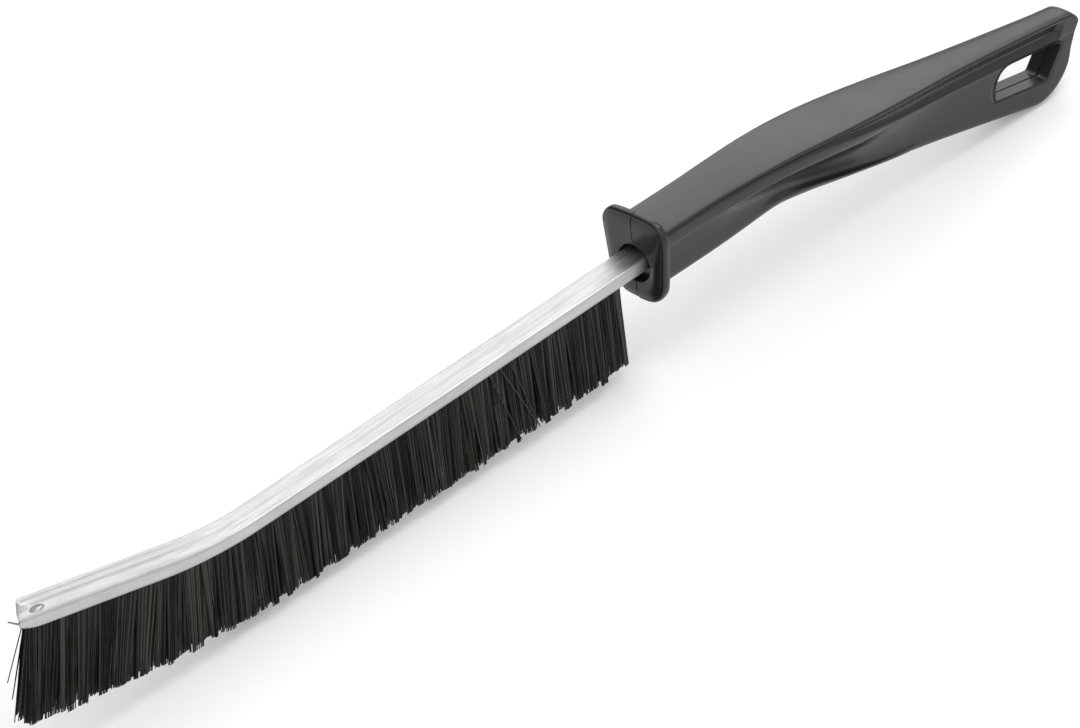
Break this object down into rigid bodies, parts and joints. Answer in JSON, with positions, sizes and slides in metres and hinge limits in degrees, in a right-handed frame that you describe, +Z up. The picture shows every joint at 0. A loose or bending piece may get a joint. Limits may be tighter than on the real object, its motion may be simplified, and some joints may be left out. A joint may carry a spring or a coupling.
{
  "type": "grout brush",
  "caption": "Long narrow hand brush: a bent steel channel full of stiff black bristles in a moulded grip with a front guard and a hang hole in its thin rear plate.",
  "frame": {"origin": "bottom centre of the whole brush's box", "axes": "+X from the bristle tip towards the handle's end, +Y to the left half of the handle, +Z up with the bristles hanging down"},
  "size_m": [0.368, 0.021, 0.0442],
  "materials": {
    "galvanised_steel": "galvanised sheet, satin, with faint lengthwise rolling lines",
    "wire_steel": "plain drawn wire",
    "black_filament": "extruded nylon filament, slightly glossy along its length",
    "black_plastic": "moulded polypropylene, satin"
  },
  "bodies": {
    "root": {"steel_channel": "galvanised_steel", "core_wire": "wire_steel", "bristles_1": "black_filament", "bristles_2": "black_filament", "bristles_3": "black_filament", "bristles_4": "black_filament", "bristles_5": "black_filament", "bristles_6": "black_filament", "bristles_7": "black_filament", "bristles_8": "black_filament", "handle_left": "black_plastic", "handle_right": "black_plastic"}
  },
  "joints": []
}
